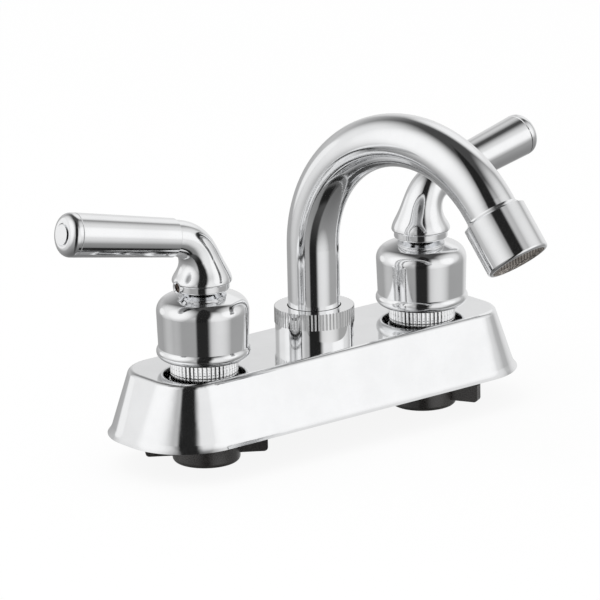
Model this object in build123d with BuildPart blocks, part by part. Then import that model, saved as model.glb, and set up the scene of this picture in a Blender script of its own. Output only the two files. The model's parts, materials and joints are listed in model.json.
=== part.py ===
from build123d import *
from math import cos, radians, sin
import os

# Two-handle centreset basin tap, in millimetres.
# The deck is the plane z = 0, the basin lies towards -Y, and the hot side is -X.

# Base: a tapered shell round a thin gasket
valve_spacing = 101.6
base_length = 170.8
base_width = 53.6
base_corner = 23.6
plate_length = 153.6
plate_width = 40.4
plate_corner = 14.8
plate_height = 23.2
plate_thickness = 2.6
plate_edge_round = 2.0
shell_wall = 2.0
shell_lift = 0.2
foot_flare = 0.8
foot_height = 2.6
gasket_thickness = 1.2
gasket_clearance = 0.9

# Brass inside the base: a valve body under each handle and a spout body, joined by brazed cross tubes
shank_radius = 10.48
shank_length = 12.0
inlet_radius = 5.0
tower_radius = 13.4
tower_foot_radius = 15.0
tower_foot_thickness = 3.0
tower_neck_radius = 11.0
tower_neck_length = 12.8
cartridge_bore_radius = 9.0
seat_height = 5.0
cross_tube_radius = 4.75
cross_tube_bore = 3.85
cross_tube_gap = 1.45
braze_depth = 2.4
braze_clearance = 0.05
boss_radius = 12.6
boss_height = 13.1
boss_thread_radius = 11.3
boss_thread_length = 7.8
boss_chamber_radius = 7.5
boss_floor = 2.0

# Spout: a bent tube that turns in the spout body's boss
spout_radius = 9.45
spout_bore_radius = 8.0
spout_engagement = 11.0
spout_riser = 34.2
spout_bend_radius = 45.75
spout_bend_angle = 143.0
spout_swing = 9.8
spout_clearance = 0.06
spout_nut_radius = 14.5
spout_nut_sleeve_radius = 14.25
spout_nut_height = 12.2
spout_nut_flange = 2.0
spout_nut_knurl_length = 6.0
spout_nut_lip = 0.35
spout_nut_ridges = 68
spout_nut_flute_radius = 0.4
clip_groove_depth = 0.75
clip_thickness = 2.0
clip_gap = 0.15
clip_slot = 3.0
seal_groove_depth = 0.95
seal_groove_width = 1.4
spout_seal_depths = (3.8, 7.8)

# Aerator at the outlet
tail_length = 21.9
housing_radius = 11.68
housing_length = 18.0
housing_flare = 1.9
housing_lip_radius = 10.2
housing_lip = 1.0
housing_cavity_radius = 10.55
housing_edge_round = 1.0
tube_end_inset = 9.4
aerator_washer_thickness = 1.4
aerator_washer_bore = 7.0
aerator_screen_thickness = 0.5
aerator_clearance = 0.08
aerator_hole_radius = 1.1
aerator_ring_pitch = 3.3
aerator_rings = 2
screen_hole_radius = 0.75
screen_ring_pitch = 2.3
screen_rings = 4

# Canopy, lock ring and wing nut of each side
lock_ring_radius = 12.2
lock_ring_length = 4.8
lock_ring_ridges = 44
lock_ring_flute_radius = 0.5
canopy_lift = 3.3
canopy_mouth_radius = 14.85
canopy_rim_radius = 15.5
canopy_bead_radius = 16.9
canopy_bead_rise = 1.8
canopy_crease_radius = 16.2
canopy_crease_rise = 4.1
canopy_radius = 16.6
canopy_shoulder_rise = 16.9
canopy_dome_radius = 13.0
canopy_dome_rise = 22.0
canopy_crown_radius = 7.0
canopy_height = 24.4
canopy_wall = 1.6
canopy_hole_radius = 5.2
canopy_collar_wall = 1.5
wing_nut_radius = 12.2
wing_nut_gap = 2.2
wing_nut_height = 10.1
wing_span = 44.0
wing_thickness = 3.4
wing_height = 6.4
wing_lift = 2.5
wing_corner = 1.4
wing_nut_edge_round = 1.6
wing_turn = {"left": -26.0, "right": -67.0}

# Ceramic cartridge of each side, from the seat up
seal_thickness = 2.0
seal_bore_radius = 4.6
seal_gap = 0.02
fixed_disc_thickness = 2.5
moving_disc_thickness = 2.5
disc_radius = 7.1
disc_port_radius = 2.4
disc_port_offset = 3.7
disc_gap = 0.05
barrel_radius = 8.94
barrel_bore_radius = 7.2
barrel_chamber_length = 13.0
barrel_window_width = 7.0
barrel_window_height = 4.8
barrel_head_flats = 18.0
barrel_head_height = 4.6
stem_radius = 3.6
stem_clearance = 0.05
stem_foot_radius = 7.0
stem_foot_thickness = 2.4
stem_engagement = 6.3
stem_spline_length = 14.0
stem_splines = 16
stem_spline_depth = 0.45
stem_seal_depth = 10.6
stem_seal_groove_depth = 0.8
stem_clip_thickness = 0.9
stem_clip_radius = 5.0
stem_clip_groove_depth = 0.7

# Handle of each side: hub, horn-shaped neck, lever sleeve, end cap and set screw
hub_gap = 0.4
hub_band_radius = 9.85
hub_band_rise = 2.5
hub_foot_round = 0.7
hub_radius = 10.75
hub_bulge_rise = 3.4
lever_sweep = {"left": 7.0, "right": 5.4}
lever_tilt = 10.6
lever_rise = 18.35
lever_seam = 11.8
lever_seam_radius = 6.45
lever_seam_bevel = 0.2
neck_flare_share = 0.23
neck_stations = 7
neck_root_pull = 12.4
neck_lever_pull = 7.0
lever_root_radius = 6.95
lever_end_radius = 7.9
lever_bore_radius = 5.0
spigot_length = 30.0
lever_end = 52.5
end_cap_length = 4.3
end_cap_plug_length = 6.0
end_cap_round = 3.1
end_cap_dish_radius = 4.15
end_cap_dish_depth = 0.5
end_cap_button_radius = 3.65
end_cap_button_height = 0.4
set_screw_radius = 1.6
set_screw_rise = 2.0
set_screw_length = 5.6
set_screw_turn = {"left": 2.0, "right": -2.0}
set_screw_boss_radius = 2.4
set_screw_boss_root = 8.6
set_screw_boss_reach = 10.75
set_screw_sink_depth = 0.4
set_screw_sink_angle = 45.0
set_screw_hex_flats = 1.5
set_screw_hex_depth = 2.0

# How far a cutter runs past the face that it opens
cut_margin = 1.0

valve_x = valve_spacing / 2
shell_height = plate_height - shell_lift
plate_underside = plate_height - plate_thickness
fixed_disc_bottom = seat_height + seal_thickness
moving_disc_bottom = fixed_disc_bottom + fixed_disc_thickness + disc_gap
stem_foot_bottom = moving_disc_bottom + moving_disc_thickness
tower_neck_top = plate_height + tower_neck_length
cross_tube_height = plate_underside - cross_tube_gap - cross_tube_radius
boss_top = plate_height + boss_thread_length
spout_foot = boss_top - spout_engagement
spout_nut_top = plate_height + spout_nut_height
lock_ring_top = plate_height + lock_ring_length
canopy_bottom = plate_height + canopy_lift
canopy_top = canopy_bottom + canopy_height
barrel_top = tower_neck_top + barrel_head_height
stem_seal_height = barrel_top - stem_seal_depth
hub_bottom = canopy_top + hub_gap
bulge_height = hub_bottom + hub_bulge_rise
stem_top = hub_bottom + stem_engagement
lever_axis_height = hub_bottom + lever_rise

# The photographed spout is swung a little towards the cold side
spout_frame = Plane(
    origin=(0, 0, 0),
    x_dir=(sin(radians(spout_swing)), -cos(radians(spout_swing)), 0),
    z_dir=(-cos(radians(spout_swing)), -sin(radians(spout_swing)), 0),
)


def valve_frame(side):
    # Upright plane through one valve axis: local x runs outwards along the lever, local y is up
    sign = {"left": -1, "right": 1}[side]
    sweep = radians(lever_sweep[side])
    out = Vector(sign * cos(sweep), sin(sweep), 0)
    return Plane(origin=(sign * valve_x, 0, 0), x_dir=out, z_dir=out.cross(Vector(0, 0, 1)))


def level(side, height):
    # Horizontal plane on one valve axis
    frame = valve_frame(side)
    return Plane(origin=frame.origin + Vector(0, 0, height), x_dir=frame.x_dir, z_dir=(0, 0, 1))


def valve_axis(side):
    return Axis(valve_frame(side).origin, (0, 0, 1))


def export(piece, name):
    piece.part.label = name
    export_step(piece.part, f"parts/{name}.step")


def wall_outline(height):
    # Length, width and corner radius of the tapered wall at one height
    share = (height - shell_lift) / shell_height
    return (
        base_length + (plate_length - base_length) * share,
        base_width + (plate_width - base_width) * share,
        base_corner + (plate_corner - base_corner) * share,
    )


def make_base_shell():
    with BuildPart() as shell:
        for height in (shell_lift, plate_height):
            with BuildSketch(Plane.XY.offset(height)):
                RectangleRounded(*wall_outline(height))
        loft()
        fillet(shell.edges().group_by(Axis.Z)[-1], plate_edge_round)
        # The foot flares out in a hollow curve
        for share in (0, 0.35, 1):
            height = shell_lift + share * foot_height
            length, width, corner = wall_outline(height)
            flare = foot_flare * (1 - share) ** 2
            with BuildSketch(Plane.XY.offset(height)):
                RectangleRounded(length + 2 * flare, width + 2 * flare, corner + flare)
        loft()
        # Hollow from below
        for height in (shell_lift, plate_underside):
            length, width, corner = wall_outline(height)
            with BuildSketch(Plane.XY.offset(height)):
                RectangleRounded(length - 2 * shell_wall, width - 2 * shell_wall, corner - shell_wall)
        loft(mode=Mode.SUBTRACT)
        with BuildSketch(Plane.XY.offset(plate_underside)):
            with Locations((-valve_x, 0), (valve_x, 0)):
                Circle(tower_neck_radius)
            Circle(boss_thread_radius)
        extrude(amount=plate_thickness, mode=Mode.SUBTRACT)
    return shell


def make_gasket():
    with BuildPart() as gasket:
        with BuildSketch():
            inset = shell_wall + gasket_clearance
            RectangleRounded(base_length - 2 * inset, base_width - 2 * inset, base_corner - inset)
            with Locations((-valve_x, 0), (valve_x, 0)):
                Circle(shank_radius, mode=Mode.SUBTRACT)
        extrude(amount=gasket_thickness)
    return gasket


def cross_plane(side, distance):
    # Square to the cross tube on one side, at a distance from the middle of the base, looking outwards
    sign = {"left": -1, "right": 1}[side]
    return Plane(origin=(sign * distance, 0, cross_tube_height), x_dir=(0, 1, 0), z_dir=(sign, 0, 0))


def make_valve_body(side):
    tower_steps = (
        (-shank_length, gasket_thickness, shank_radius),
        (gasket_thickness, gasket_thickness + tower_foot_thickness, tower_foot_radius),
        (gasket_thickness, plate_underside, tower_radius),
        (plate_underside, tower_neck_top, tower_neck_radius),
    )
    with BuildPart() as body:
        for bottom, top, radius in tower_steps:
            with BuildSketch(level(side, bottom)):
                Circle(radius)
            extrude(amount=top - bottom)
        with BuildSketch(level(side, -shank_length)):
            Circle(inlet_radius)
        extrude(amount=shank_length + seat_height, mode=Mode.SUBTRACT)
        with BuildSketch(level(side, seat_height)):
            Circle(cartridge_bore_radius)
        extrude(amount=tower_neck_top - seat_height, mode=Mode.SUBTRACT)
        # Passage to the spout, with a socket for the cross tube
        with BuildSketch(cross_plane(side, valve_x - tower_radius - cut_margin)):
            Circle(cross_tube_bore)
        extrude(amount=tower_radius + cut_margin, mode=Mode.SUBTRACT)
        with BuildSketch(cross_plane(side, valve_x - tower_radius - cut_margin)):
            Circle(cross_tube_radius + braze_clearance)
        extrude(amount=braze_depth + cut_margin, mode=Mode.SUBTRACT)
    return body


def make_spout_body():
    boss_bottom = plate_underside - boss_height
    chamber_floor = boss_bottom + boss_floor
    with BuildPart() as body:
        with BuildSketch(Plane.XY.offset(boss_bottom)):
            Circle(boss_radius)
        extrude(amount=boss_height)
        with BuildSketch(Plane.XY.offset(plate_underside)):
            Circle(boss_thread_radius)
        extrude(amount=boss_top - plate_underside)
        with BuildSketch(Plane.XY.offset(chamber_floor)):
            Circle(boss_chamber_radius)
        extrude(amount=boss_top - chamber_floor, mode=Mode.SUBTRACT)
        with BuildSketch(Plane.XY.offset(spout_foot - spout_clearance)):
            Circle(spout_radius + spout_clearance)
        extrude(amount=boss_top - spout_foot + spout_clearance, mode=Mode.SUBTRACT)
        for side in ("left", "right"):
            with BuildSketch(cross_plane(side, 0)):
                Circle(cross_tube_bore)
            extrude(amount=boss_radius + cut_margin, mode=Mode.SUBTRACT)
            with BuildSketch(cross_plane(side, boss_radius - braze_depth)):
                Circle(cross_tube_radius + braze_clearance)
            extrude(amount=braze_depth + cut_margin, mode=Mode.SUBTRACT)
    return body


def make_cross_tube(side):
    inner_end = boss_radius - braze_depth
    outer_end = valve_x - tower_radius + braze_depth
    with BuildPart() as tube:
        with BuildSketch(cross_plane(side, inner_end)):
            Circle(cross_tube_radius)
            Circle(cross_tube_bore, mode=Mode.SUBTRACT)
        extrude(amount=outer_end - inner_end)
    return tube


def make_lock_ring(side):
    with BuildPart() as ring:
        with BuildSketch(level(side, plate_height)):
            Circle(lock_ring_radius)
            Circle(tower_neck_radius, mode=Mode.SUBTRACT)
            with PolarLocations(lock_ring_radius, lock_ring_ridges):
                Circle(lock_ring_flute_radius, mode=Mode.SUBTRACT)
        extrude(amount=lock_ring_length)
    return ring


def make_canopy(side):
    shoulder_height = canopy_bottom + canopy_shoulder_rise
    dome_height = canopy_bottom + canopy_dome_rise
    with BuildPart() as canopy:
        with BuildSketch(valve_frame(side)):
            with BuildLine():
                mouth = Line((canopy_mouth_radius, canopy_bottom), (canopy_rim_radius, canopy_bottom))
                bead = ThreePointArc(
                    mouth @ 1,
                    (canopy_bead_radius, canopy_bottom + canopy_bead_rise),
                    (canopy_crease_radius, canopy_bottom + canopy_crease_rise),
                )
                side_wall = Line(bead @ 1, (canopy_radius, shoulder_height))
                dome_start = (canopy_dome_radius, dome_height)
                shoulder = TangentArc(side_wall @ 1, dome_start, tangent=side_wall % 1)
                dome = Line(shoulder @ 1, (canopy_crown_radius, canopy_top))
                crown = Line(dome @ 1, (canopy_hole_radius, canopy_top))
                hole = Line(crown @ 1, (canopy_hole_radius, canopy_top - canopy_wall))
                inner_crown = Line(hole @ 1, (canopy_crown_radius, canopy_top - canopy_wall))
                inner_dome = Line(
                    inner_crown @ 1,
                    (canopy_dome_radius - canopy_wall / 2, dome_height - canopy_wall),
                )
                inner_shoulder = Line(inner_dome @ 1, (canopy_mouth_radius, shoulder_height))
                Line(inner_shoulder @ 1, mouth @ 0)
            make_face()
        revolve(axis=valve_axis(side))
        # Threaded collar that screws onto the neck of the tower
        with BuildSketch(level(side, lock_ring_top)):
            Circle(tower_neck_radius + canopy_collar_wall)
            Circle(tower_neck_radius, mode=Mode.SUBTRACT)
        extrude(amount=dome_height - lock_ring_top)
    return canopy


def make_wing_nut(side):
    nut_bottom = -wing_nut_gap - wing_nut_height
    wing_plane = level(side, nut_bottom + wing_lift).rotated((0, 0, wing_turn[side]))
    with BuildPart() as nut:
        with BuildSketch(level(side, nut_bottom)):
            Circle(wing_nut_radius)
        extrude(amount=wing_nut_height)
        fillet(nut.edges().group_by(Axis.Z)[0], wing_nut_edge_round)
        with BuildSketch(wing_plane):
            Rectangle(wing_span, wing_thickness)
        extrude(amount=wing_height)
        tips = nut.faces().filter_by(lambda face: abs(face.normal_at().dot(wing_plane.x_dir)) > 0.99)
        fillet([tip.edges().sort_by(Axis.Z)[0] for tip in tips], wing_corner)
        with BuildSketch(level(side, nut_bottom)):
            Circle(shank_radius)
        extrude(amount=wing_nut_height, mode=Mode.SUBTRACT)
    return nut


def make_seat_seal(side):
    with BuildPart() as seal:
        with BuildSketch(level(side, seat_height)):
            Circle(barrel_radius)
            Circle(seal_bore_radius, mode=Mode.SUBTRACT)
        extrude(amount=seal_thickness)
    return seal


def make_disc(side, bottom, thickness):
    with BuildPart() as disc:
        with BuildSketch(level(side, bottom)):
            Circle(disc_radius)
            with PolarLocations(disc_port_offset, 2):
                Circle(disc_port_radius, mode=Mode.SUBTRACT)
        extrude(amount=thickness)
    return disc


def make_barrel(side):
    chamber_top = fixed_disc_bottom + barrel_chamber_length
    with BuildPart() as barrel:
        with BuildSketch(level(side, fixed_disc_bottom)):
            Circle(barrel_radius)
        extrude(amount=tower_neck_top - fixed_disc_bottom)
        with BuildSketch(level(side, tower_neck_top)):
            RegularPolygon(barrel_head_flats / 2, 6, major_radius=False)
        extrude(amount=barrel_head_height)
        with BuildSketch(level(side, fixed_disc_bottom)):
            Circle(barrel_bore_radius)
        extrude(amount=barrel_chamber_length, mode=Mode.SUBTRACT)
        with BuildSketch(level(side, chamber_top)):
            Circle(stem_radius + stem_clearance)
        extrude(amount=barrel_top - chamber_top, mode=Mode.SUBTRACT)
        with BuildSketch(level(side, cross_tube_height - barrel_window_height / 2)):
            Rectangle(2 * (barrel_radius + cut_margin), barrel_window_width)
        extrude(amount=barrel_window_height, mode=Mode.SUBTRACT)
    return barrel


def make_stem(side):
    seal_groove = stem_radius - stem_seal_groove_depth
    clip_groove = stem_radius - stem_clip_groove_depth
    with BuildPart() as stem:
        with BuildSketch(level(side, stem_foot_bottom)):
            Circle(stem_foot_radius)
        extrude(amount=stem_foot_thickness)
        with BuildSketch(level(side, stem_foot_bottom)):
            Circle(stem_radius)
        extrude(amount=stem_top - stem_foot_bottom)
        with BuildSketch(level(side, stem_seal_height - stem_seal_groove_depth)):
            Circle(stem_radius)
            Circle(seal_groove, mode=Mode.SUBTRACT)
        extrude(amount=2 * stem_seal_groove_depth, mode=Mode.SUBTRACT)
        with BuildSketch(level(side, barrel_top)):
            Circle(stem_radius)
            Circle(clip_groove, mode=Mode.SUBTRACT)
        extrude(amount=stem_clip_thickness + 2 * stem_clearance, mode=Mode.SUBTRACT)
        with BuildSketch(level(side, stem_top - stem_spline_length)):
            with PolarLocations(stem_radius, stem_splines):
                Circle(stem_spline_depth)
        extrude(amount=stem_spline_length, mode=Mode.SUBTRACT)
    return stem


def make_stem_seal(side):
    ring_radius = (stem_seal_groove_depth + stem_clearance - seal_gap) / 2
    with BuildPart() as seal:
        with BuildSketch(valve_frame(side)):
            with Locations((stem_radius - stem_seal_groove_depth + ring_radius, stem_seal_height)):
                Circle(ring_radius)
        revolve(axis=valve_axis(side))
    return seal


def make_stem_clip(side):
    clip_plane = level(side, barrel_top + stem_clearance)
    with BuildPart() as clip:
        with BuildSketch(clip_plane):
            Circle(stem_clip_radius)
            Circle(stem_radius - stem_clip_groove_depth, mode=Mode.SUBTRACT)
            with Locations((0, stem_clip_radius)):
                Rectangle(stem_radius, 2 * stem_clip_radius, mode=Mode.SUBTRACT)
        extrude(amount=stem_clip_thickness)
    return clip


def lever_plane(side, distance):
    # Square to the lever at a distance along its axis, looking outwards
    frame = valve_frame(side)
    tilt = radians(lever_tilt)
    along = frame.x_dir * cos(tilt) + Vector(0, 0, sin(tilt))
    start = frame.origin + Vector(0, 0, lever_axis_height)
    return Plane(origin=start + along * distance, x_dir=frame.z_dir, z_dir=along)


def set_screw_plane(side):
    # Square to the set screw, at the valve axis, looking outwards below the lever and a little to the front
    frame = valve_frame(side)
    centre = frame.origin + Vector(0, 0, hub_bottom + set_screw_rise)
    outwards = frame.x_dir.rotate(Axis.Z, set_screw_turn[side])
    return Plane(origin=centre, x_dir=frame.z_dir.rotate(Axis.Z, set_screw_turn[side]), z_dir=outwards)


def neck_radius(share):
    # Radius at a share of the neck's length: level with the bulge at the hub, then narrowing to the seam
    def flare(at):
        return 1 / (1 + (at / neck_flare_share) ** 2)

    spread = (flare(share) - flare(1)) / (1 - flare(1))
    return lever_seam_radius + (hub_radius - lever_seam_radius) * spread


def make_neck(side):
    frame = valve_frame(side)
    tilt = radians(lever_tilt)
    seam = lever_plane(side, lever_seam)
    with BuildPart() as neck:
        with BuildSketch(frame):
            with BuildLine():
                foot = Line((0, hub_bottom), (hub_band_radius - hub_foot_round, hub_bottom))
                corner = TangentArc(foot @ 1, (hub_band_radius, hub_bottom + hub_foot_round), tangent=(1, 0))
                band = Line(corner @ 1, (hub_band_radius, hub_bottom + hub_band_rise))
                bulge = TangentArc((hub_radius, bulge_height), band @ 1, tangent=(0, -1))
                top = Line(bulge @ 0, (0, bulge_height))
                Line(top @ 1, foot @ 0)
            make_face()
        revolve(axis=valve_axis(side))
        with BuildLine(frame, mode=Mode.PRIVATE) as bend:
            Bezier(
                (0, bulge_height),
                (0, bulge_height + neck_root_pull),
                (
                    (lever_seam - neck_lever_pull) * cos(tilt),
                    lever_axis_height + (lever_seam - neck_lever_pull) * sin(tilt),
                ),
                (lever_seam * cos(tilt), lever_axis_height + lever_seam * sin(tilt)),
            )
        for station in range(neck_stations):
            share = station / (neck_stations - 1)
            centre = bend.line @ share
            with BuildSketch(Plane(origin=centre, x_dir=frame.z_dir, z_dir=bend.line % share)):
                Circle(neck_radius(share))
        loft()
        with BuildSketch(seam):
            Circle(lever_bore_radius)
        extrude(amount=spigot_length)
        # Round boss of the set screw
        with BuildSketch(set_screw_plane(side).offset(set_screw_boss_root)):
            Circle(set_screw_boss_radius)
        extrude(amount=set_screw_boss_reach - set_screw_boss_root)
        # Socket for the stem, and the threaded hole of the set screw with its countersink
        with BuildSketch(level(side, hub_bottom)):
            Circle(stem_radius)
        extrude(amount=stem_top - hub_bottom, mode=Mode.SUBTRACT)
        with BuildSketch(set_screw_plane(side)):
            Circle(set_screw_radius)
        extrude(amount=set_screw_boss_reach + cut_margin, mode=Mode.SUBTRACT)
        with BuildSketch(set_screw_plane(side).offset(set_screw_boss_reach - set_screw_sink_depth)):
            Circle(set_screw_radius)
        extrude(amount=set_screw_sink_depth + cut_margin, taper=-set_screw_sink_angle, mode=Mode.SUBTRACT)
    return neck


def make_lever(side):
    with BuildPart() as lever:
        with BuildSketch(lever_plane(side, lever_seam)):
            Circle(lever_root_radius)
        with BuildSketch(lever_plane(side, lever_end)):
            Circle(lever_end_radius)
        loft()
        chamfer(lever.edges().filter_by(GeomType.CIRCLE), lever_seam_bevel)
        with BuildSketch(lever_plane(side, lever_seam)):
            Circle(lever_bore_radius)
        extrude(amount=lever_end - lever_seam, mode=Mode.SUBTRACT)
    return lever


def make_end_cap(side):
    face = lever_end + end_cap_length
    with BuildPart() as cap:
        with BuildSketch(lever_plane(side, lever_end - end_cap_plug_length)):
            Circle(lever_bore_radius)
        extrude(amount=end_cap_plug_length)
        with BuildSketch(lever_plane(side, lever_end)):
            Circle(lever_end_radius)
        extrude(amount=end_cap_length)
        rims = cap.edges().filter_by(GeomType.CIRCLE).filter_by(lambda edge: edge.radius > lever_bore_radius)
        face_rim, seam_rim = rims.sort_by_distance(lever_plane(side, face).origin)
        fillet(face_rim, end_cap_round)
        chamfer(seam_rim, lever_seam_bevel)
        with BuildSketch(lever_plane(side, face)):
            Circle(end_cap_dish_radius)
        extrude(amount=-end_cap_dish_depth, mode=Mode.SUBTRACT)
        with BuildSketch(lever_plane(side, face - end_cap_dish_depth)):
            Circle(end_cap_button_radius)
        extrude(amount=end_cap_dish_depth + end_cap_button_height)
    return cap


def make_set_screw(side):
    inner = set_screw_plane(side).offset(stem_radius)
    with BuildPart() as screw:
        with BuildSketch(inner):
            Circle(set_screw_radius)
        extrude(amount=set_screw_length)
        with BuildSketch(inner.offset(set_screw_length - set_screw_hex_depth)):
            RegularPolygon(set_screw_hex_flats / 2, 6, major_radius=False)
        extrude(amount=set_screw_hex_depth, mode=Mode.SUBTRACT)
    return screw


def spout_line(length):
    # Centre line of the spout with a straight tail of one length past the bend
    with BuildLine(spout_frame) as line:
        riser = Line((0, spout_foot), (0, plate_height + spout_riser))
        bend = JernArc(riser @ 1, riser % 1, spout_bend_radius, -spout_bend_angle)
        Line(bend @ 1, bend @ 1 + (bend % 1) * length)
    return line.line


def outlet_plane(inset):
    # Square to the outlet, at a distance back up the spout, looking back up the spout
    line = spout_line(tail_length)
    return Plane(origin=line @ 1 - (line % 1) * inset, x_dir=spout_frame.z_dir, z_dir=-(line % 1))


def make_spout_tube():
    path = spout_line(tail_length - tube_end_inset)
    with BuildPart() as tube:
        with BuildSketch(Plane.XY.offset(spout_foot)):
            Circle(spout_radius)
        sweep(path=path)
        with BuildSketch(Plane.XY.offset(spout_foot)):
            Circle(spout_bore_radius)
        sweep(path=path, mode=Mode.SUBTRACT)
        for depth in spout_seal_depths:
            with BuildSketch(Plane.XY.offset(boss_top - depth - seal_groove_width / 2)):
                Circle(spout_radius)
                Circle(spout_radius - seal_groove_depth, mode=Mode.SUBTRACT)
            extrude(amount=seal_groove_width, mode=Mode.SUBTRACT)
        with BuildSketch(Plane.XY.offset(boss_top + clip_gap)):
            Circle(spout_radius)
            Circle(spout_radius - clip_groove_depth, mode=Mode.SUBTRACT)
        extrude(amount=clip_thickness, mode=Mode.SUBTRACT)
    return tube


def make_spout_clip():
    with BuildPart() as clip:
        with BuildSketch(Plane.XY.offset(boss_top + clip_gap)):
            Circle(boss_thread_radius - clip_gap)
            Circle(spout_radius - clip_groove_depth, mode=Mode.SUBTRACT)
            with Locations((0, spout_radius)):
                Rectangle(clip_slot, 2 * clip_slot, mode=Mode.SUBTRACT)
        extrude(amount=clip_thickness)
    return clip


def make_spout_seals():
    ring_radius = (seal_groove_depth + spout_clearance - seal_gap) / 2
    with BuildPart() as seals:
        with BuildSketch(Plane.XZ):
            for depth in spout_seal_depths:
                with Locations((spout_radius - seal_groove_depth + ring_radius, boss_top - depth)):
                    Circle(ring_radius)
        revolve(axis=Axis.Z)
    return seals


def make_spout_nut():
    knurl_bottom = spout_nut_top - spout_nut_knurl_length
    flange_bottom = spout_nut_top - spout_nut_flange
    with BuildPart() as nut:
        with BuildSketch(Plane.XY.offset(plate_height)):
            Circle(spout_nut_sleeve_radius)
        extrude(amount=knurl_bottom - plate_height)
        with BuildSketch(Plane.XY.offset(knurl_bottom)):
            Circle(spout_nut_radius)
            with PolarLocations(spout_nut_radius, spout_nut_ridges):
                Circle(spout_nut_flute_radius, mode=Mode.SUBTRACT)
        extrude(amount=spout_nut_knurl_length)
        with BuildSketch(Plane.XY.offset(plate_height)):
            Circle(boss_thread_radius)
        extrude(amount=flange_bottom - plate_height, mode=Mode.SUBTRACT)
        with BuildSketch(Plane.XY.offset(flange_bottom)):
            Circle(spout_radius + spout_nut_lip)
        extrude(amount=spout_nut_flange, mode=Mode.SUBTRACT)
    return nut


def make_aerator_housing():
    rim = outlet_plane(0)
    flare_top = housing_length + housing_flare
    tube_engagement = flare_top - tube_end_inset
    with BuildPart() as housing:
        with BuildSketch(Plane(origin=rim.origin, x_dir=rim.x_dir, z_dir=rim.x_dir.cross(rim.z_dir))):
            with BuildLine():
                mouth = Line((0, 0), (housing_radius - housing_edge_round, 0))
                edge = TangentArc(mouth @ 1, (housing_radius, housing_edge_round), tangent=(1, 0))
                wall = Line(edge @ 1, (housing_radius, housing_length))
                throat = (spout_radius + aerator_clearance, flare_top)
                flare = TangentArc(wall @ 1, throat, tangent=(-1, 0.25))
                top = Line(flare @ 1, (0, flare_top))
                Line(top @ 1, mouth @ 0)
            make_face()
        revolve(axis=Axis(rim.origin, rim.z_dir))
        with BuildSketch(outlet_plane(0)):
            Circle(housing_lip_radius)
        extrude(amount=housing_lip, mode=Mode.SUBTRACT)
        with BuildSketch(outlet_plane(housing_lip)):
            Circle(housing_cavity_radius)
        extrude(amount=tube_end_inset - housing_lip, mode=Mode.SUBTRACT)
        with BuildSketch(outlet_plane(tube_end_inset)):
            Circle(spout_radius)
        extrude(amount=tube_engagement, mode=Mode.SUBTRACT)
    return housing


def make_aerator_washer():
    with BuildPart() as washer:
        with BuildSketch(outlet_plane(tube_end_inset - aerator_washer_thickness)):
            Circle(housing_cavity_radius - aerator_clearance)
            Circle(aerator_washer_bore, mode=Mode.SUBTRACT)
        extrude(amount=aerator_washer_thickness)
    return washer


def make_aerator_insert():
    bottom = housing_lip + aerator_screen_thickness
    top = tube_end_inset - aerator_washer_thickness
    with BuildPart() as insert:
        with BuildSketch(outlet_plane(bottom)):
            Circle(housing_cavity_radius - aerator_clearance)
            Circle(aerator_hole_radius, mode=Mode.SUBTRACT)
            for ring in range(1, aerator_rings + 1):
                with PolarLocations(ring * aerator_ring_pitch, 6 * ring):
                    Circle(aerator_hole_radius, mode=Mode.SUBTRACT)
        extrude(amount=top - bottom)
    return insert


def make_aerator_screen():
    with BuildPart() as screen:
        with BuildSketch(outlet_plane(housing_lip)):
            Circle(housing_cavity_radius - aerator_clearance)
            Circle(screen_hole_radius, mode=Mode.SUBTRACT)
            for ring in range(1, screen_rings + 1):
                with PolarLocations(ring * screen_ring_pitch, 6 * ring):
                    Circle(screen_hole_radius, mode=Mode.SUBTRACT)
        extrude(amount=aerator_screen_thickness)
    return screen


os.makedirs("parts", exist_ok=True)

export(make_base_shell(), "base_shell")
export(make_gasket(), "deck_gasket")
export(make_spout_body(), "spout_body")
export(make_spout_tube(), "spout_tube")
export(make_spout_clip(), "spout_clip")
export(make_spout_seals(), "spout_seals")
export(make_spout_nut(), "spout_nut")
export(make_aerator_housing(), "aerator_housing")
export(make_aerator_washer(), "aerator_washer")
export(make_aerator_insert(), "aerator_insert")
export(make_aerator_screen(), "aerator_screen")

for side in ("left", "right"):
    export(make_valve_body(side), f"{side}_valve_body")
    export(make_cross_tube(side), f"{side}_cross_tube")
    export(make_lock_ring(side), f"{side}_lock_ring")
    export(make_canopy(side), f"{side}_canopy")
    export(make_wing_nut(side), f"{side}_wing_nut")
    export(make_seat_seal(side), f"{side}_seat_seal")
    export(make_disc(side, fixed_disc_bottom, fixed_disc_thickness), f"{side}_fixed_disc")
    export(make_disc(side, moving_disc_bottom, moving_disc_thickness), f"{side}_moving_disc")
    export(make_barrel(side), f"{side}_cartridge_barrel")
    export(make_stem(side), f"{side}_stem")
    export(make_stem_seal(side), f"{side}_stem_seal")
    export(make_stem_clip(side), f"{side}_stem_clip")
    export(make_neck(side), f"{side}_handle_neck")
    export(make_lever(side), f"{side}_lever_sleeve")
    export(make_end_cap(side), f"{side}_end_cap")
    export(make_set_screw(side), f"{side}_set_screw")
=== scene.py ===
import bpy
import json
from math import cos, pi, radians, sin
from mathutils import Matrix, Vector


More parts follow.
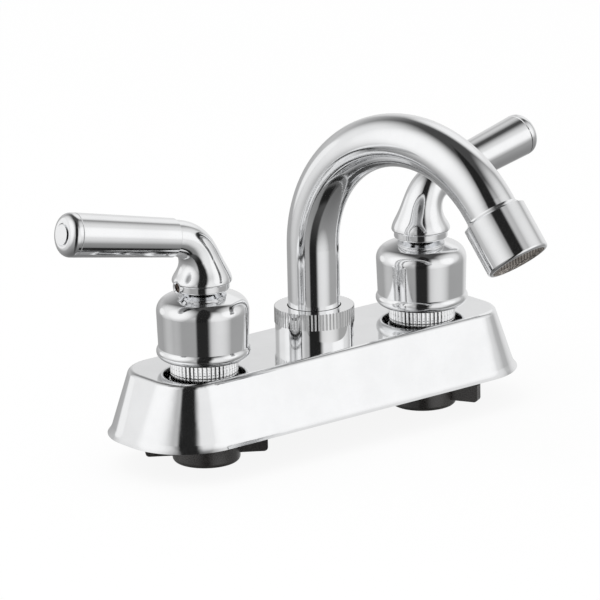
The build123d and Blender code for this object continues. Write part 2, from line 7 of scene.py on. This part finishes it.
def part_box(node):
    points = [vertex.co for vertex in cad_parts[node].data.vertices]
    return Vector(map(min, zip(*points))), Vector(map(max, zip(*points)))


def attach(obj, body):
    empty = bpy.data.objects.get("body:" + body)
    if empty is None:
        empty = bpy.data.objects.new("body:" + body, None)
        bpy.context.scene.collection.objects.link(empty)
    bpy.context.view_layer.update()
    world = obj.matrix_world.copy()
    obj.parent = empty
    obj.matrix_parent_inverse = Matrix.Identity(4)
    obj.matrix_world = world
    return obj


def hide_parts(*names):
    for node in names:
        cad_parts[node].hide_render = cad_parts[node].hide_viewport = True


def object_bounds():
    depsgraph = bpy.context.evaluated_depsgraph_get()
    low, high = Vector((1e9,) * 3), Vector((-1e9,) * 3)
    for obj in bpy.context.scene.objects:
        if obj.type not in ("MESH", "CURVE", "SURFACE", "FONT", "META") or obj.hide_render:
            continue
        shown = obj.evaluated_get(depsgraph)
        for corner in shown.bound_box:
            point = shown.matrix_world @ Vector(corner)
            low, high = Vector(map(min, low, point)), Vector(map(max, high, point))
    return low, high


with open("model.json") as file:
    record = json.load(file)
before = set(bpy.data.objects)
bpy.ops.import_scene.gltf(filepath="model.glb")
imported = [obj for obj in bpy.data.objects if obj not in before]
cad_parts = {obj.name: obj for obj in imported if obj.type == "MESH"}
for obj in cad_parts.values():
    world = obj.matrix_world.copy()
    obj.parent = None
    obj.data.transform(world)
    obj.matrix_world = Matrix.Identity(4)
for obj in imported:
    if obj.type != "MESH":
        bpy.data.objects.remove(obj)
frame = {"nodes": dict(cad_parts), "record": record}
nodes = frame["nodes"]
record = frame["record"]
cad_low, cad_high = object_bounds()

# Camera: it looks from the front left of the tap and a little down
CAMERA_AZIMUTH = -38.6
CAMERA_ELEVATION = 16.0
CAMERA_ROLL = -1.24
CAMERA_DISTANCE = 1.9
LOOK_AT = Vector((-0.00509, 0.00175, 0.03767))
LENS = 315.79
SENSOR = 36.0

# Surroundings: what polished metal shows of the studio, by direction from the camera's own azimuth
WALL_TONE = 0.55
CEILING_TONE = 0.06
TABLE_LOW_TONE = 0.13
TABLE_HORIZON_TONE = 0.46
DARK_TONE = 0.014
GAP_LOW_TONE = 0.075
GAP_LEFT = 0.28
GAP_LEFT_EDGE = 0.06
GAP_RIGHT = 0.28
GAP_RIGHT_LEAN = 0.25
GAP_RIGHT_EDGE = 0.12
# Where those tones fade into each other, as the sine of the elevation, or of the turn towards the camera
WALL_FADE = (0.12, 0.94)
TABLE_FADE = (-1.0, 0.0)
HORIZON_FADE = (0.0, 0.25)
GAP_LOW_FADE = (-0.9, -0.2)
GAP_BACK_FADE = (-0.1, 0.1)
SMALLEST_FLAT = 0.001
# Each softbox: azimuth, elevation, full radius, outer radius (degrees) and tone
SOFTBOXES = (
    (-94, 20, 4, 61, 0.86),
    (-119, 5, 8, 21, 0.92),
    (-72, 24, 8, 61, 1.00),
    (43, 8, 4, 58, 0.86),
    (72, 18, 8, 42, 1.00),
    (88, 24, 4, 50, 0.80),
    (161, 6, 6, 53, 0.80),
    (158, 34, 8, 31, 0.90),
)
# Woven outlet screen, in metres
SCREEN_PITCH = 0.00080
SCREEN_WIRE = 0.00012
SCREEN_RIM_WIRE = 0.00025
SCREEN_WIRE_SIDES = 6
SCREEN_STEPS_A_PITCH = 4.0
SCREEN_RIM_SIDES = 12
SCREEN_RIM_STEPS = 96
SCREEN_SMOOTH_ANGLE = 60
# Lock rings, in metres
LOCK_RING_PLEATS = 44
LOCK_RING_HOLE = 0.011
LOCK_RING_PLEAT_DEPTH = 0.00034
LOCK_RING_LOW_LINE = 0.0011
LOCK_RING_HIGH_LINE = 0.0023
LOCK_RING_LINE_DEPTH = 0.00014
LOCK_RING_LINES_A_HEIGHT = 26.0
LOCK_RING_STEPS_A_PLEAT = 10.0
LOCK_RING_SECTION_CUTS = 23
LOCK_RING_SKIN_SHARE = 0.01
LOCK_RING_SMOOTH_ANGLE = 38
# Table
TABLE_RADIUS = 2.5
TABLE_SIDES = 96
TABLE_TONES = (0.985, 1.0)
TABLE_PLAIN_SHARE = 0.90
# Light on what isn't a mirror: a lamp to the left of the camera, and the room
LAMP_LEVEL = 0.30
LAMP_TURN = -50
LAMP_ELEVATION = 62
LAMP_DISTANCE = 2.0
LAMP_SIZE = 1.6
ROOM_LEVEL = 0.80
# Painted shadow: a dark card just above the table, seen only in polished metal, standing in for the shade
# under and in front of the base. In metres: low x, high x, low y, high y
PAINTED_SHADOW_CARD = (-0.086, -0.018, -0.066, -0.026)
PAINTED_SHADOW_CARD_SOFT_EDGE = 0.012
PAINTED_SHADOW_CARD_LIFT = 0.0002


class Nodes:
    """Short calls for building a node tree."""

    def __init__(self, tree):
        self.tree = tree
        tree.nodes.clear()

    def add(self, kind, *inputs, output=0, named=None, **settings):
        node = self.tree.nodes.new(kind)
        for name, value in settings.items():
            setattr(node, name, value)
        for index, value in enumerate(inputs):
            self.put(node.inputs[index], value)
        for name, value in (named or {}).items():
            self.put(node.inputs[name], value)
        return node.outputs[output] if node.outputs else node

    def put(self, socket, value):
        if isinstance(value, bpy.types.NodeSocket):
            self.tree.links.new(value, socket)
        elif value is not None:
            socket.default_value = value

    def math(self, operation, *inputs):
        return self.add("ShaderNodeMath", *inputs, operation=operation)

    def grey(self, value):
        return self.add("ShaderNodeCombineColor", value, value, value)

    def blend(self, share, first, second):
        mix = self.tree.nodes.new("ShaderNodeMix")
        mix.data_type = "RGBA"
        self.put(mix.inputs["Factor"], share)
        for index, colour in ((6, first), (7, second)):
            mix.inputs[index].default_value = (*colour, 1)
        return mix.outputs[2]

    def bump(self, height, distance, strength, normal=None):
        named = {"Height": height, "Distance": distance, "Strength": strength, "Normal": normal}
        return self.add("ShaderNodeBump", named=named)

    def step(self, value, start, end, low=0.0, high=1.0, shape="SMOOTHSTEP"):
        return self.add("ShaderNodeMapRange", value, start, end, low, high, interpolation_type=shape)


def direction(azimuth, elevation):
    """Unit vector at an azimuth and an elevation in degrees: azimuth 0 is -Y and 90 is +X."""
    a, e = radians(azimuth), radians(elevation)
    return Vector((sin(a) * cos(e), -cos(a) * cos(e), sin(e)))


def link_object(name, data):
    item = bpy.data.objects.new(name, data)
    bpy.context.scene.collection.objects.link(item)
    return item


def make_camera():
    back = direction(CAMERA_AZIMUTH, CAMERA_ELEVATION)
    camera = link_object("camera", bpy.data.cameras.new("camera"))
    turn = (-back).to_track_quat("-Z", "Y").to_matrix().to_4x4()
    roll = Matrix.Rotation(radians(CAMERA_ROLL), 4, "Z")
    camera.matrix_world = Matrix.Translation(LOOK_AT + back * CAMERA_DISTANCE) @ turn @ roll
    camera.data.sensor_width = SENSOR
    camera.data.lens = LENS
    camera.data.clip_start = 0.05
    camera.data.clip_end = 50
    bpy.context.scene.camera = camera


def make_world():
    world = bpy.data.worlds.new("studio")
    bpy.context.scene.world = world
    world.use_nodes = True
    n = Nodes(world.node_tree)
    ray = n.add("ShaderNodeTexCoord")
    # Turned so that -Y is the camera's azimuth, as in the softbox list
    turn = {"Angle": radians(-CAMERA_AZIMUTH)}
    turned = n.add("ShaderNodeVectorRotate", ray, rotation_type="Z_AXIS", named=turn)
    split = world.node_tree.nodes.new("ShaderNodeSeparateXYZ")
    n.put(split.inputs[0], turned)
    side, away, up = split.outputs
    wall = n.step(up, *WALL_FADE, WALL_TONE, CEILING_TONE)
    table = n.step(up, *TABLE_FADE, TABLE_LOW_TONE, TABLE_HORIZON_TONE, "LINEAR")
    table = n.step(up, *HORIZON_FADE, table, WALL_TONE, "LINEAR")
    tone = n.math("MINIMUM", wall, table)
    for azimuth, elevation, full, outer, strength in SOFTBOXES:
        towards = direction(azimuth, elevation)
        facing = n.add("ShaderNodeVectorMath", turned, towards, operation="DOT_PRODUCT", output=1)
        glow = n.step(facing, cos(radians(outer)), cos(radians(full)), 0.0, strength)
        tone = n.math("MAXIMUM", tone, glow)
    # The open gap towards the camera, whose right edge leans outwards as it goes up
    flat = n.math("SQRT", n.math("ADD", n.math("POWER", side, 2.0), n.math("POWER", away, 2.0)))
    across = n.math("DIVIDE", side, n.math("MAXIMUM", flat, SMALLEST_FLAT))
    left = n.step(across, -GAP_LEFT + GAP_LEFT_EDGE, -GAP_LEFT - GAP_LEFT_EDGE)
    lean = n.math("MULTIPLY", n.math("MAXIMUM", up, 0.0), GAP_RIGHT_LEAN)
    leaning = n.math("SUBTRACT", across, lean)
    right = n.step(leaning, GAP_RIGHT - GAP_RIGHT_EDGE, GAP_RIGHT + GAP_RIGHT_EDGE)
    behind = n.step(away, *GAP_BACK_FADE)
    clear = n.math("MAXIMUM", n.math("MAXIMUM", left, right), behind)
    tone = n.math("MULTIPLY", tone, clear)
    tone = n.math("MAXIMUM", tone, n.step(up, *GAP_LOW_FADE, GAP_LOW_TONE, DARK_TONE))
    mirror_view = n.add("ShaderNodeBackground", tone, 1.0)
    plain_light = n.add("ShaderNodeBackground", (1, 1, 1, 1), ROOM_LEVEL)
    white = n.add("ShaderNodeBackground", (1, 1, 1, 1), 1.0)
    path = world.node_tree.nodes.new("ShaderNodeLightPath")
    glossy = n.math("MAXIMUM", path.outputs["Is Glossy Ray"], path.outputs["Is Transmission Ray"])
    mix = n.add("ShaderNodeMixShader", glossy, plain_light, mirror_view)
    mix = n.add("ShaderNodeMixShader", path.outputs["Is Camera Ray"], mix, white)
    n.add("ShaderNodeOutputWorld", mix)


def new_material(name):
    material = bpy.data.materials.new(name)
    material.use_nodes = True
    return material, Nodes(material.node_tree)


def noise(n, scale, detail=3.0, rough=0.5):
    """Noise in the piece's own coordinates, its scale in cells a metre."""
    place = n.add("ShaderNodeTexCoord", output="Object")
    named = {"Vector": place, "Scale": scale, "Detail": detail, "Roughness": rough}
    return n.add("ShaderNodeTexNoise", named=named)


def finish_surface(n, **values):
    """Ends a material with one Principled shader, whose sockets are named with _ for a space."""
    named = {name.replace("_", " "): value for name, value in values.items()}
    n.add("ShaderNodeOutputMaterial", n.add("ShaderNodeBsdfPrincipled", named=named))


def plating(name, tint, dull_low, dull_high, swell):
    """Bright plating: almost a mirror, with a faint swell from buffing and a few dull traces of handling."""
    material, n = new_material(name)
    traces = noise(n, scale=55, detail=6.0, rough=0.65)
    dull = n.step(traces, start=0.50, end=0.78, low=dull_low, high=dull_high)
    soft = n.bump(noise(n, scale=38, detail=1.0), distance=swell, strength=0.30)
    fine = n.bump(noise(n, scale=1100, detail=2.0), distance=0.000003, strength=0.10, normal=soft)
    faded = tuple(0.955 * value for value in tint)
    colour = n.blend(n.step(traces, start=0.3, end=0.7), tint, faded)
    finish_surface(n, Base_Color=colour, Metallic=1.0, Roughness=dull, Normal=fine)
    return material


def moulded_black():
    """Matt black nylon: fine spark-eroded grain, paler where it is handled, with faint flow marks."""
    material, n = new_material("moulded_black")
    black, handled = (0.028, 0.0248, 0.0230), (0.054, 0.0480, 0.0448)
    grain = noise(n, scale=2600, detail=3.0, rough=0.6)
    flow = noise(n, scale=90, detail=4.0)
    colour = n.blend(n.step(flow, start=0.35, end=0.75), black, handled)
    rough = n.step(grain, start=0.3, end=0.7, low=0.22, high=0.36)
    grained = n.bump(grain, distance=0.00004, strength=0.55)
    finish_surface(n, Base_Color=colour, Roughness=rough, Specular_IOR_Level=1.0, Normal=grained)
    return material


def soft_rubber(name, tone):
    """Matt black rubber with a dusty bloom."""
    material, n = new_material(name)
    bloom = noise(n, scale=160, detail=5.0, rough=0.6)
    dusty = tuple(1.9 * value for value in tone)
    colour = n.blend(n.step(bloom, start=0.4, end=0.8), tone, dusty)
    rough = n.step(bloom, start=0.3, end=0.7, low=0.62, high=0.80)
    skin = n.bump(noise(n, scale=3200, detail=2.0), distance=0.00003, strength=0.5)
    finish_surface(n, Base_Color=colour, Roughness=rough, Specular_IOR_Level=0.35, Normal=skin)
    return material


def machined_brass():
    """Turned brass: fine rings from the tool along Z, a little tarnish and uneven sheen."""
    material, n = new_material("machined_brass")
    bright, tarnished = (0.74, 0.52, 0.24), (0.42, 0.26, 0.10)
    place = n.add("ShaderNodeTexCoord", output="Object")
    rings = n.add("ShaderNodeTexWave", output="Fac", wave_type="BANDS", bands_direction="Z",
                  named={"Vector": place, "Scale": 1100.0, "Distortion": 0.6, "Detail": 1.0})
    tarnish = noise(n, scale=120, detail=5.0, rough=0.6)
    colour = n.blend(n.step(tarnish, start=0.40, end=0.75), bright, tarnished)
    rough = n.step(tarnish, start=0.3, end=0.8, low=0.20, high=0.42)
    turned = n.bump(rings, distance=0.00002, strength=0.35)
    finish_surface(n, Base_Color=colour, Metallic=1.0, Roughness=rough, Normal=turned)
    return material


def darkened_brass():
    """Brass gone brown down in a wet socket, still bright in places."""
    material, n = new_material("darkened_brass")
    brown, dark = (0.42, 0.33, 0.27), (0.17, 0.135, 0.115)
    film = noise(n, scale=420, detail=4.0, rough=0.6)
    colour = n.blend(n.step(film, start=0.35, end=0.70), brown, dark)
    rough = n.step(film, start=0.3, end=0.8, low=0.25, high=0.50)
    filmed = n.bump(film, distance=0.00002, strength=0.4)
    finish_surface(n, Base_Color=colour, Metallic=1.0, Roughness=rough, Normal=filmed)
    return material


def moulded_plastic(name, tone, dark, grain_scale):
    """Plain moulded plastic with a satin skin and small colour drift."""
    material, n = new_material(name)
    drift = noise(n, scale=140, detail=4.0)
    colour = n.blend(n.step(drift, start=0.35, end=0.7), tone, dark)
    rough = n.step(drift, start=0.3, end=0.7, low=0.34, high=0.50)
    skin = n.bump(noise(n, scale=grain_scale, detail=2.0), distance=0.00002, strength=0.4)
    finish_surface(n, Base_Color=colour, Roughness=rough, Normal=skin)
    return material


def drawn_steel(name, tone, rough_low, rough_high):
    """Drawn steel wire or strip: fine scratches, and darker where water has stained it."""
    material, n = new_material(name)
    scratches = noise(n, scale=700, detail=4.0, rough=0.6)
    stain = noise(n, scale=150, detail=4.0)
    stained = tuple(0.55 * value for value in tone)
    colour = n.blend(n.step(stain, start=0.4, end=0.75), tone, stained)
    rough = n.step(scratches, start=0.3, end=0.7, low=rough_low, high=rough_high)
    scratched = n.bump(scratches, distance=0.00001, strength=0.4)
    finish_surface(n, Base_Color=colour, Metallic=1.0, Roughness=rough, Normal=scratched)
    return material


def lapped_ceramic():
    """White alumina, lapped flat, with a few grey specks."""
    material, n = new_material("lapped_ceramic")
    white, grey = (0.90, 0.89, 0.85), (0.60, 0.59, 0.56)
    specks = noise(n, scale=2400, detail=2.0)
    colour = n.blend(n.step(specks, start=0.66, end=0.74), white, grey)
    rough = n.step(noise(n, scale=300, detail=3.0), start=0.3, end=0.7, low=0.12, high=0.28)
    pitted = n.bump(specks, distance=0.000005, strength=0.3)
    finish_surface(n, Base_Color=colour, Roughness=rough, Normal=pitted)
    return material


def make_finishes():
    """One material for each material slot of the record, and one for the set screws in their sockets."""
    return {
        "chrome": plating(
            "polished_chrome", tint=(0.945, 0.950, 0.958), dull_low=0.085, dull_high=0.130, swell=0.00005),
        "chrome_nut": plating(
            "knurled_chrome", tint=(0.955, 0.957, 0.960), dull_low=0.035, dull_high=0.090, swell=0.00002),
        "black_gasket": soft_rubber("gasket_rubber", tone=(0.012, 0.012, 0.012)),
        "brass": machined_brass(),
        "socket_brass": darkened_brass(),
        "clip_plastic": moulded_plastic(
            "white_clip_plastic", tone=(0.78, 0.77, 0.72), dark=(0.70, 0.68, 0.61), grain_scale=1800),
        "seal_rubber": soft_rubber("seal_rubber", tone=(0.014, 0.014, 0.015)),
        "aerator_plastic": moulded_plastic(
            "aerator_plastic", tone=(0.055, 0.048, 0.043), dark=(0.085, 0.074, 0.065), grain_scale=1500),
        "steel_mesh": drawn_steel("mesh_steel", tone=(0.74, 0.68, 0.62), rough_low=0.24, rough_high=0.44),
        "nut_plastic": moulded_black(),
        "ceramic": lapped_ceramic(),
        "spring_steel": drawn_steel("spring_steel", tone=(0.62, 0.62, 0.63), rough_low=0.18, rough_high=0.34),
    }


class PieceTree(Nodes):
    """A Geometry Nodes tree with named inputs that ends as one plain mesh."""

    def __init__(self, name, **inputs):
        super().__init__(bpy.data.node_groups.new(name, "GeometryNodeTree"))
        self.values = {}
        kinds = {float: "NodeSocketFloat", int: "NodeSocketInt"}
        for label, value in inputs.items():
            socket = self.tree.interface.new_socket(label, in_out="INPUT", socket_type=kinds[type(value)])
            self.values[socket.identifier] = value
        sockets = self.tree.interface
        self.finish_socket = sockets.new_socket("finish", in_out="INPUT", socket_type="NodeSocketMaterial")
        sockets.new_socket("Geometry", in_out="OUTPUT", socket_type="NodeSocketGeometry")
        self.source = self.tree.nodes.new("NodeGroupInput").outputs

    def size(self, label):
        return self.source[label]

    def vector(self, x, y, z):
        return self.add("ShaderNodeCombineXYZ", x, y, z)

    def place(self):
        return self.add("ShaderNodeSeparateXYZ", self.add("GeometryNodeInputPosition")).node.outputs

    def make_mesh(self, name, geometry, finish, smooth_angle):
        """Ends the tree, runs it once and returns the plain mesh with its finish."""
        real = self.add("GeometryNodeRealizeInstances", geometry)
        painted = self.add("GeometryNodeSetMaterial", real, named={"Material": self.size("finish")})
        self.add("NodeGroupOutput", painted)
        holder = link_object(name + "_tree", bpy.data.meshes.new(name + "_tree"))
        modifier = holder.modifiers.new("tree", "NODES")
        modifier.node_group = self.tree
        for identifier, value in self.values.items():
            modifier[identifier] = value
        modifier[self.finish_socket.identifier] = finish
        bpy.context.view_layer.update()
        solid = holder.evaluated_get(bpy.context.evaluated_depsgraph_get())
        mesh = bpy.data.meshes.new_from_object(solid)
        bpy.data.objects.remove(holder)
        mesh.name = name
        shade_by_angle(mesh, smooth_angle)
        return mesh


def shade_by_angle(mesh, angle):
    mesh.polygons.foreach_set("use_smooth", [True] * len(mesh.polygons))
    mesh.set_sharp_from_angle(angle=radians(angle))


def screen_seat():
    """Where the outlet screen lies: a matrix whose Z points out of the outlet, and the screen's radius."""
    mount = next(item for item in record["mounts"] if item["name"] == "outlet")
    turn = Vector(mount["axis"]).to_track_quat("Z", "X").to_matrix()
    points = [turn.transposed() @ vertex.co for vertex in nodes["aerator_screen"].data.vertices]
    low = Vector([min(point[k] for point in points) for k in range(3)])
    high = Vector([max(point[k] for point in points) for k in range(3)])
    return Matrix.Translation(turn @ ((low + high) / 2)) @ turn.to_4x4(), (high.x - low.x) / 2


def make_outlet_mesh(finish):
    """Woven wire of the outlet screen inside its crimped rim."""
    seat, radius = screen_seat()
    n = PieceTree("woven_screen", radius=radius - SCREEN_RIM_WIRE, pitch=SCREEN_PITCH, wire=SCREEN_WIRE,
                  rim_wire=SCREEN_RIM_WIRE)
    radius_in, pitch, wire = n.size("radius"), n.size("pitch"), n.size("wire")
    half = n.math("FLOOR", n.math("DIVIDE", radius_in, pitch))
    count = n.math("ADD", n.math("MULTIPLY", half, 2.0), 1.0)
    start = n.math("MULTIPLY", n.math("MULTIPLY", half, pitch), -1.0)
    rows = n.add("GeometryNodeMeshLine", mode="OFFSET", named={
        "Count": count, "Start Location": n.vector(start, 0.0, 0.0), "Offset": n.vector(pitch, 0.0, 0.0)})
    strand = n.add("GeometryNodeCurvePrimitiveLine", named={"Start": (0, -1, 0), "End": (0, 1, 0)})
    across = n.place()[0]
    reach = n.math("SQRT", n.math("SUBTRACT", n.math("POWER", radius_in, 2.0), n.math("POWER", across, 2.0)))
    stretch = n.vector(1.0, reach, 1.0)
    strands = n.add("GeometryNodeInstanceOnPoints", rows, named={"Instance": strand, "Scale": stretch})
    strands = n.add("GeometryNodeRealizeInstances", strands)
    fine = n.math("DIVIDE", pitch, SCREEN_STEPS_A_PITCH)
    strands = n.add("GeometryNodeResampleCurve", strands, mode="LENGTH", named={"Length": fine})
    place = n.place()
    over = n.math("COSINE", n.math("DIVIDE", n.math("MULTIPLY", place[0], pi), pitch))
    under = n.math("COSINE", n.math("DIVIDE", n.math("MULTIPLY", place[1], pi), pitch))
    lift = n.math("MULTIPLY", n.math("MULTIPLY", over, under), wire)
    warp = n.add("GeometryNodeSetPosition", strands, named={"Offset": n.vector(0.0, 0.0, lift)})
    # The other way's wires are the same ones turned over a diagonal, so they pass under where these pass over
    weft = n.add("GeometryNodeTransform", warp, named={"Rotation": (pi, 0, pi / 2)})
    woven = n.add("GeometryNodeJoinGeometry", warp)
    n.put(woven.node.inputs[0], weft)
    profile = n.add("GeometryNodeCurvePrimitiveCircle", named={
        "Resolution": SCREEN_WIRE_SIDES, "Radius": wire})
    woven = n.add("GeometryNodeCurveToMesh", woven, named={"Profile Curve": profile, "Fill Caps": True})
    rim = n.add("GeometryNodeCurvePrimitiveCircle", named={
        "Resolution": SCREEN_RIM_STEPS, "Radius": radius_in})
    rim_profile = n.add("GeometryNodeCurvePrimitiveCircle", named={
        "Resolution": SCREEN_RIM_SIDES, "Radius": n.size("rim_wire")})
    rim = n.add("GeometryNodeCurveToMesh", rim, named={"Profile Curve": rim_profile})
    whole = n.add("GeometryNodeJoinGeometry", woven)
    n.put(whole.node.inputs[0], rim)
    mesh = n.make_mesh("outlet_mesh", whole, finish, SCREEN_SMOOTH_ANGLE)
    mesh.transform(seat)
    return mesh


def make_lock_ring(side, finish):
    """Pleated lock ring under a canopy, with two fine turned lines across the pleats."""
    low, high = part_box(f"{side}_lock_ring")
    ridge = (high[0] - low[0]) / 2
    n = PieceTree("pleated_ring", ridge_radius=ridge, hole_radius=LOCK_RING_HOLE, height=high[2] - low[2],
                  pleats=LOCK_RING_PLEATS, pleat_depth=LOCK_RING_PLEAT_DEPTH, low_line=LOCK_RING_LOW_LINE,
                  high_line=LOCK_RING_HIGH_LINE, line_depth=LOCK_RING_LINE_DEPTH)
    labels = ("ridge_radius", "hole_radius", "height", "pleats")
    outer, hole, height, pleats = (n.size(label) for label in labels)
    wall = n.math("SUBTRACT", outer, hole)
    middle = n.math("DIVIDE", n.math("ADD", outer, hole), 2.0)
    steps = n.math("MULTIPLY", pleats, LOCK_RING_STEPS_A_PLEAT)
    around = n.add("GeometryNodeCurvePrimitiveCircle", named={"Resolution": steps, "Radius": middle})
    section = n.add("GeometryNodeCurvePrimitiveQuadrilateral", named={"Width": wall, "Height": height})
    section = n.add("GeometryNodeSubdivideCurve", section, named={"Cuts": LOCK_RING_SECTION_CUTS})
    ring = n.add("GeometryNodeCurveToMesh", around, named={"Profile Curve": section})
    x, y, z = n.place()
    radius = n.math("SQRT", n.math("ADD", n.math("POWER", x, 2.0), n.math("POWER", y, 2.0)))
    skin_depth = n.math("MULTIPLY", wall, LOCK_RING_SKIN_SHARE)
    skin = n.math("GREATER_THAN", radius, n.math("SUBTRACT", outer, skin_depth))
    turn = n.math("MULTIPLY", n.math("ARCTAN2", y, x), n.math("DIVIDE", pleats, 2.0))
    # Each pleat is a rounded ridge, with a sharp crease to the next one
    crest = n.math("ABSOLUTE", n.math("COSINE", turn))
    groove = n.math("MULTIPLY", n.math("SUBTRACT", 1.0, crest), n.size("pleat_depth"))
    above = n.math("ADD", z, n.math("DIVIDE", height, 2.0))
    off_low = n.math("ABSOLUTE", n.math("SUBTRACT", above, n.size("low_line")))
    off_high = n.math("ABSOLUTE", n.math("SUBTRACT", above, n.size("high_line")))
    off_line = n.math("MINIMUM", off_low, off_high)
    line_reach = n.math("DIVIDE", height, LOCK_RING_LINES_A_HEIGHT)
    line = n.step(off_line, 0.0, line_reach, n.size("line_depth"), 0.0)
    inset = n.math("MULTIPLY", n.math("ADD", groove, line), skin)
    share = n.math("DIVIDE", n.math("SUBTRACT", radius, inset), radius)
    shaped = n.vector(n.math("MULTIPLY", x, share), n.math("MULTIPLY", y, share), z)
    ring = n.add("GeometryNodeSetPosition", ring, named={"Position": shaped})
    mesh = n.make_mesh(f"{side}_pleated_ring", ring, finish, LOCK_RING_SMOOTH_ANGLE)
    centre = [(a + b) / 2 for a, b in zip(low, high)]
    mesh.transform(Matrix.Translation(centre))
    return mesh


def make_floor():
    """Pale table under the wing nuts, bright enough to read as white but for the soft shadow by the tap."""
    height = cad_low[2]
    mesh = bpy.data.meshes.new("table")
    turns = [2 * pi * k / TABLE_SIDES for k in range(TABLE_SIDES)]
    rim = [(TABLE_RADIUS * cos(turn), TABLE_RADIUS * sin(turn), height) for turn in turns]
    mesh.from_pydata(rim, [], [tuple(range(TABLE_SIDES))])
    table = link_object("table", mesh)
    material, n = new_material("table_white")
    tone = n.step(noise(n, scale=8, detail=3.0), 0.3, 0.7, *TABLE_TONES)
    lit = n.add("ShaderNodeBsdfDiffuse", n.grey(tone))
    plain = n.add("ShaderNodeEmission", (1, 1, 1, 1), 1.0)
    path = material.node_tree.nodes.new("ShaderNodeLightPath")
    share = n.math("MULTIPLY", path.outputs["Is Camera Ray"], TABLE_PLAIN_SHARE)
    top_side = n.add("ShaderNodeMixShader", share, lit, plain)
    # Clear from below, so that the underside of the tap can be looked at through the table
    from_below = n.add("ShaderNodeNewGeometry", output="Backfacing")
    clear = n.add("ShaderNodeBsdfTransparent")
    n.add("ShaderNodeOutputMaterial", n.add("ShaderNodeMixShader", from_below, top_side, clear))
    mesh.materials.append(material)
    table.visible_glossy = False
    return height


def make_painted_shadow_card(height):
    """Painted shadow: a dark card with faded edges, lying in front of the tap where the shade under the base
    falls; only polished metal shows it, as a dark reflection.
    """
    low_x, high_x, low_y, high_y = PAINTED_SHADOW_CARD
    mesh = bpy.data.meshes.new("painted_shadow_card")
    corners = [(low_x, low_y), (high_x, low_y), (high_x, high_y), (low_x, high_y)]
    mesh.from_pydata([(x, y, height + PAINTED_SHADOW_CARD_LIFT) for x, y in corners], [], [(0, 1, 2, 3)])
    card = link_object("painted_shadow_card", mesh)
    material, n = new_material("painted_shadow_black")
    x, y, _ = n.add("ShaderNodeSeparateXYZ", n.add("ShaderNodeTexCoord", output="Object")).node.outputs
    soft = PAINTED_SHADOW_CARD_SOFT_EDGE
    along = n.math("MULTIPLY", n.step(x, low_x, low_x + soft), n.step(x, high_x - soft, high_x, 1.0, 0.0))
    across = n.math("MULTIPLY", n.step(y, low_y, low_y + soft), n.step(y, high_y - soft, high_y, 1.0, 0.0))
    # Painted shadow: a near-black glow that the metal reflects in place of the shade by the base, faded out
    # towards the card's edges
    black = n.add("ShaderNodeEmission", (DARK_TONE, DARK_TONE, DARK_TONE, 1), 1.0)
    clear = n.add("ShaderNodeBsdfTransparent")
    faded = n.add("ShaderNodeMixShader", n.math("MULTIPLY", along, across), clear, black)
    n.add("ShaderNodeOutputMaterial", faded)
    mesh.materials.append(material)
    card.visible_camera = False
    card.visible_diffuse = False
    card.visible_shadow = False
    card.visible_transmission = False


def make_lamp():
    """One large soft lamp high on the left, which the metal doesn't show."""
    data = bpy.data.lights.new("soft_lamp", "AREA")
    data.shape = "DISK"
    data.size = LAMP_SIZE
    place = direction(CAMERA_AZIMUTH + LAMP_TURN, LAMP_ELEVATION) * LAMP_DISTANCE
    # From this distance the lamp lights a white card that faces it to about LAMP_LEVEL
    data.energy = LAMP_LEVEL * pi * pi * LAMP_DISTANCE ** 2
    lamp = link_object("soft_lamp", data)
    lamp.matrix_world = Matrix.Translation(place) @ place.to_track_quat("Z", "Y").to_matrix().to_4x4()
    lamp.visible_glossy = False


make_camera()
make_world()
table_height = make_floor()
# Painted shadow for the reflections: a dark card in front of the base
make_painted_shadow_card(table_height)
make_lamp()
finishes = make_finishes()
for part in record["subparts"]:
    node = nodes[part["node"]]
    node.data.materials.clear()
    node.data.materials.append(finishes[part["material_slot"]])

for side in ("left", "right"):
    nodes[f"{side}_set_screw"].data.materials[0] = finishes["socket_brass"]
    ring = link_object(f"{side}_pleated_ring", make_lock_ring(side, finishes["chrome_nut"]))
    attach(ring, "base")
    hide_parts(f"{side}_lock_ring")
screen = link_object("outlet_mesh", make_outlet_mesh(finishes["steel_mesh"]))
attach(screen, "spout")
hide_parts("aerator_screen")

bpy.context.scene.view_settings.view_transform = "Standard"
